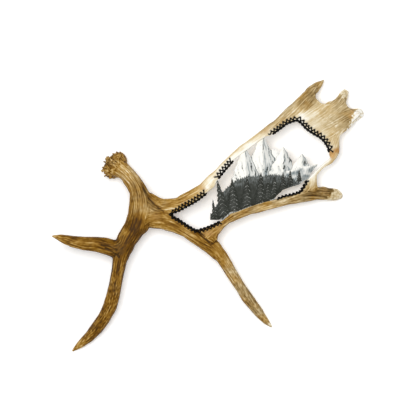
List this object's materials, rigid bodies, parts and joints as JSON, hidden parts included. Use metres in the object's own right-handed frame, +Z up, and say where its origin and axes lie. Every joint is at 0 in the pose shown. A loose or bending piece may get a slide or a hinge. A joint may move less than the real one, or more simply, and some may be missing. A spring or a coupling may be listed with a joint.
{
  "type": "moose antler",
  "caption": "Shed moose antler lying domed side up, its palm pierced into a carved winter landscape with black cross-stitched lacing round the openings.",
  "frame": {"origin": "on the ground below the middle of the antler's bounding box", "axes": "+Z up, away from the surface the antler lies on; +X from the tip of the near brow tine towards the end of the palm, along the longest extent; +Y towards the palm's upper points"},
  "size_m": [0.7166, 0.6278, 0.0767],
  "materials": {
    "antler_brown": "satin",
    "antler_palm": "satin",
    "lacing": "satin"
  },
  "bodies": {
    "root": {"beam": "antler_brown", "brow_branch": "antler_brown", "brow_tine": "antler_brown", "long_brow_tine": "antler_brown", "rear_tine": "antler_brown", "palm": "antler_palm", "lacing_lower_left": "lacing", "lacing_slot": "lacing", "lacing_top": "lacing", "lacing_upper": "lacing"}
  },
  "joints": []
}
